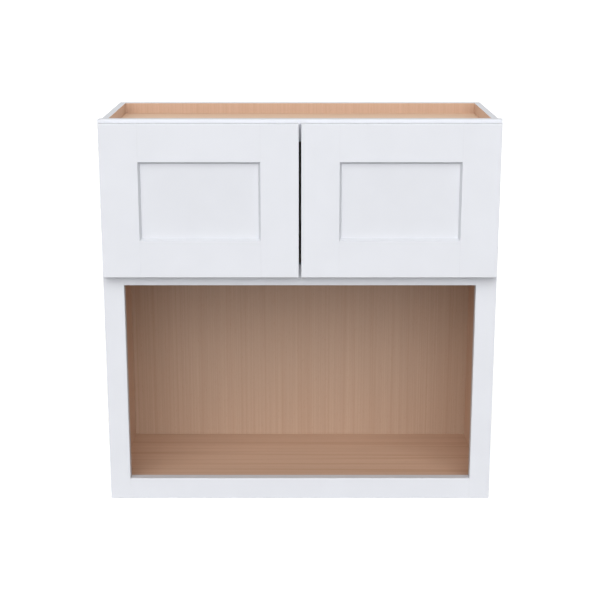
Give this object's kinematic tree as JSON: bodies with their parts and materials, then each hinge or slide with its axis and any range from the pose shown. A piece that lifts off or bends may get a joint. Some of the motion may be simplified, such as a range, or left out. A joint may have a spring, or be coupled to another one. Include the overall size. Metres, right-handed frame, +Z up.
{
  "type": "microwave wall cabinet",
  "caption": "Framed wall cabinet with an open microwave bay below and a cupboard above, closed by a pair of recessed-panel doors on concealed hinges.",
  "frame": {"origin": "under the middle of the whole cabinet, doors included, on the plane that its bottom edges lie in", "axes": "+Z up; +Y from the doors to the wall side; +X to the right as seen by someone facing the doors"},
  "size_m": [0.762, 0.3268, 0.762],
  "materials": {
    "white_paint": "satin white paint over hardwood and plywood",
    "maple_veneer": "clear-coated natural maple veneer plywood",
    "plain_ply": "bare sanded plywood",
    "nickel_steel": "nickel-plated pressed steel",
    "zinc_steel": "bright zinc-plated steel",
    "clear_bumper": "clear soft polyurethane"
  },
  "bodies": {
    "root": {"frame_left_stile": "white_paint", "frame_right_stile": "white_paint", "frame_top_rail": "white_paint", "frame_middle_rail": "white_paint", "frame_bottom_rail": "white_paint", "left_side_panel": "white_paint", "right_side_panel": "white_paint", "top_panel": "maple_veneer", "deck_panel": "maple_veneer", "floor_panel": "maple_veneer", "back_panel": "maple_veneer", "upper_hanging_rail": "plain_ply", "lower_hanging_rail": "plain_ply", "left_lower_hinge_arm": "nickel_steel", "left_lower_hinge_plate": "nickel_steel", "left_lower_hinge_plate_screw_1": "zinc_steel", "left_lower_hinge_plate_screw_2": "zinc_steel", "left_upper_hinge_arm": "nickel_steel", "left_upper_hinge_plate": "nickel_steel", "left_upper_hinge_plate_screw_1": "zinc_steel", "left_upper_hinge_plate_screw_2": "zinc_steel", "right_lower_hinge_arm": "nickel_steel", "right_lower_hinge_plate": "nickel_steel", "right_lower_hinge_plate_screw_1": "zinc_steel", "right_lower_hinge_plate_screw_2": "zinc_steel", "right_upper_hinge_arm": "nickel_steel", "right_upper_hinge_plate": "nickel_steel", "right_upper_hinge_plate_screw_1": "zinc_steel", "right_upper_hinge_plate_screw_2": "zinc_steel"},
    "left_door": {"left_door_hinge_stile": "white_paint", "left_door_meeting_stile": "white_paint", "left_door_top_rail": "white_paint", "left_door_bottom_rail": "white_paint", "left_door_panel": "white_paint", "left_door_lower_bumper": "clear_bumper", "left_door_upper_bumper": "clear_bumper", "left_lower_hinge_cup": "nickel_steel", "left_lower_hinge_pin": "zinc_steel", "left_lower_hinge_cup_screw_1": "zinc_steel", "left_lower_hinge_cup_screw_2": "zinc_steel", "left_upper_hinge_cup": "nickel_steel", "left_upper_hinge_pin": "zinc_steel", "left_upper_hinge_cup_screw_1": "zinc_steel", "left_upper_hinge_cup_screw_2": "zinc_steel"},
    "right_door": {"right_door_hinge_stile": "white_paint", "right_door_meeting_stile": "white_paint", "right_door_top_rail": "white_paint", "right_door_bottom_rail": "white_paint", "right_door_panel": "white_paint", "right_door_lower_bumper": "clear_bumper", "right_door_upper_bumper": "clear_bumper", "right_lower_hinge_cup": "nickel_steel", "right_lower_hinge_pin": "zinc_steel", "right_lower_hinge_cup_screw_1": "zinc_steel", "right_lower_hinge_cup_screw_2": "zinc_steel", "right_upper_hinge_cup": "nickel_steel", "right_upper_hinge_pin": "zinc_steel", "right_upper_hinge_cup_screw_1": "zinc_steel", "right_upper_hinge_cup_screw_2": "zinc_steel"}
  },
  "joints": [
    {"name": "left_door_hinge", "type": "hinge", "parent": "root", "child": "left_door", "pos_m": [-0.3698, -0.15388, 0.60905], "axis": [0, 0, -1], "range_deg": [0, 105]},
    {"name": "right_door_hinge", "type": "hinge", "parent": "root", "child": "right_door", "pos_m": [0.3698, -0.15388, 0.60905], "axis": [0, 0, 1], "range_deg": [0, 105]}
  ]
}
